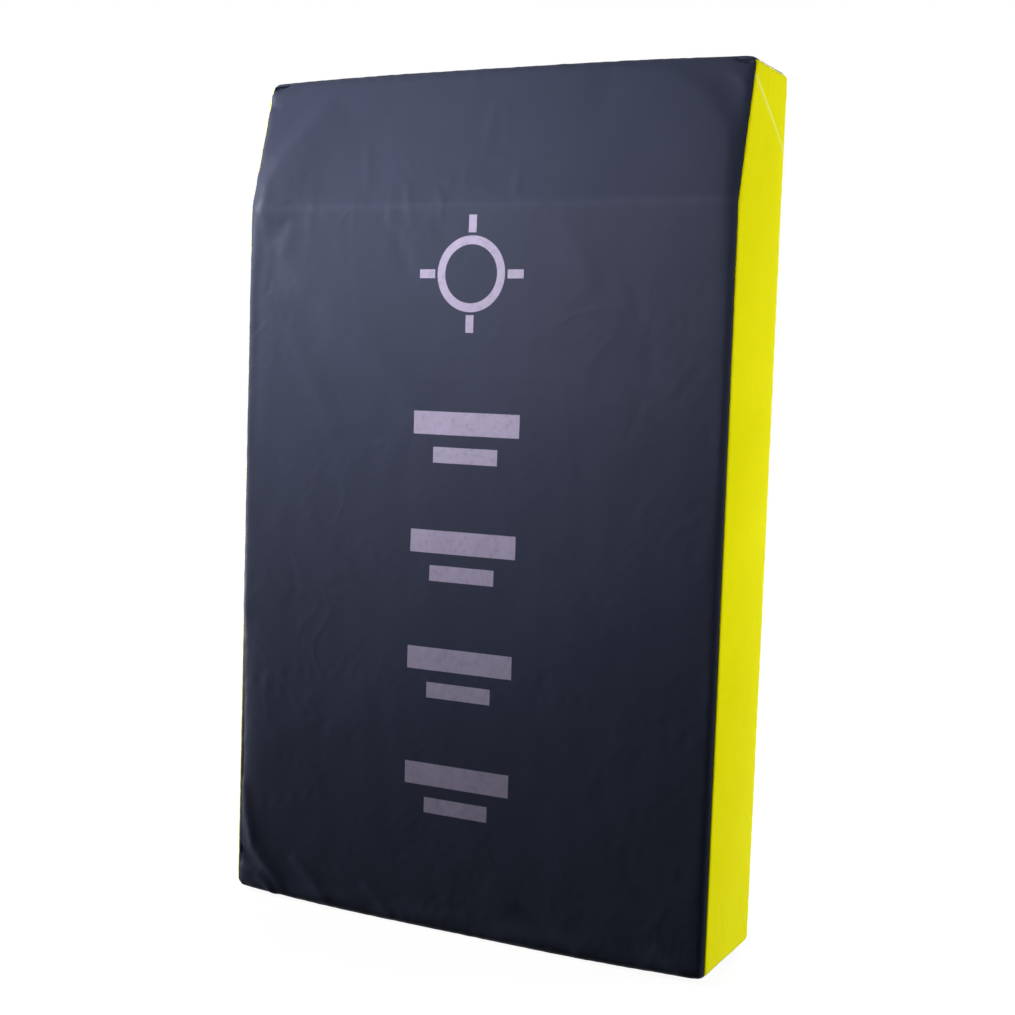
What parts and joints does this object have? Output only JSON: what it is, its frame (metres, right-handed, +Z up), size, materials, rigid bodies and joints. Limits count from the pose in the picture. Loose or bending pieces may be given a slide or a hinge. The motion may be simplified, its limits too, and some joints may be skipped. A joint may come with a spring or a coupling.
{
  "type": "aerial contest bag",
  "caption": "Upright padded striking slab in a coated cover with a leaning upper front, carrying loops and a zip behind it.",
  "frame": {"origin": "middle of the base on the floor", "axes": "+Z up, the striking face looks along -Y and the carrying loops are on +Y"},
  "size_m": [0.7564, 0.2804, 1.2144],
  "materials": {
    "navy_cover": "satin PVC-coated polyester, soft creases",
    "lime_cover": "satin PVC-coated polyester",
    "soft_foam": "open-cell upholstery foam",
    "firm_foam": "reconstituted chip foam",
    "zip_tape": "woven polyester tape",
    "zip_teeth": "moulded acetal",
    "zip_metal": "black enamel on zinc",
    "eyelet": "nickel plated, pressed",
    "webbing": "woven polypropylene",
    "sleeve": "satin PVC-coated polyester over soft padding"
  },
  "bodies": {
    "root": {"front_panel": "navy_cover", "back_panel": "navy_cover", "top_panel": "navy_cover", "base_panel": "navy_cover", "left_side_panel": "lime_cover", "right_side_panel": "lime_cover", "strike_foam": "firm_foam", "foam_core": "soft_foam", "backing_foam": "firm_foam", "zip_tape_upper": "zip_tape", "zip_tape_lower": "zip_tape", "zip_teeth_upper": "zip_teeth", "zip_teeth_lower": "zip_teeth", "zip_stop_left": "zip_metal", "zip_stop_right": "zip_metal", "vent_eyelet_left": "eyelet", "vent_eyelet_right": "eyelet", "left_patch_upper": "navy_cover", "left_patch_lower": "navy_cover", "right_patch_upper": "navy_cover", "right_patch_lower": "navy_cover", "left_grip_end_upper": "webbing", "left_grip_end_lower": "webbing", "right_grip_end_upper": "webbing", "right_grip_end_lower": "webbing", "left_arm_strap_end_upper": "webbing", "left_arm_strap_end_lower": "webbing", "right_arm_strap_end_upper": "webbing", "right_arm_strap_end_lower": "webbing"},
    "zip_slider": {"zip_slider": "zip_metal"},
    "zip_puller": {"zip_puller": "zip_metal"},
    "left_grip": {"left_grip_webbing": "webbing", "left_grip_sleeve": "sleeve"},
    "right_grip": {"right_grip_webbing": "webbing", "right_grip_sleeve": "sleeve"},
    "left_arm_strap": {"left_arm_strap_webbing": "webbing", "left_arm_strap_sleeve": "sleeve"},
    "right_arm_strap": {"right_arm_strap_webbing": "webbing", "right_arm_strap_sleeve": "sleeve"}
  },
  "joints": [
    {"name": "zip_slide", "type": "slide", "parent": "root", "child": "zip_slider", "axis": [1, 0, 0], "range_m": [0, 0.6134]},
    {"name": "zip_puller_flip", "type": "hinge", "parent": "zip_slider", "child": "zip_puller", "pos_m": [-0.3067, 0.09809, 0.13], "axis": [0, 0, -1], "range_deg": [0, 175]},
    {"name": "left_grip_lean", "type": "hinge", "parent": "root", "child": "left_grip", "pos_m": [-0.105, 0.0952, 0.66], "axis": [0, 0, 1], "range_deg": [-25, 25]},
    {"name": "right_grip_lean", "type": "hinge", "parent": "root", "child": "right_grip", "pos_m": [0.105, 0.0952, 0.66], "axis": [0, 0, 1], "range_deg": [-25, 25]},
    {"name": "left_arm_strap_lean", "type": "hinge", "parent": "root", "child": "left_arm_strap", "pos_m": [-0.255, 0.0952, 0.66], "axis": [0, 0, 1], "range_deg": [-20, 20]},
    {"name": "right_arm_strap_lean", "type": "hinge", "parent": "root", "child": "right_arm_strap", "pos_m": [0.255, 0.0952, 0.66], "axis": [0, 0, 1], "range_deg": [-20, 20]}
  ]
}
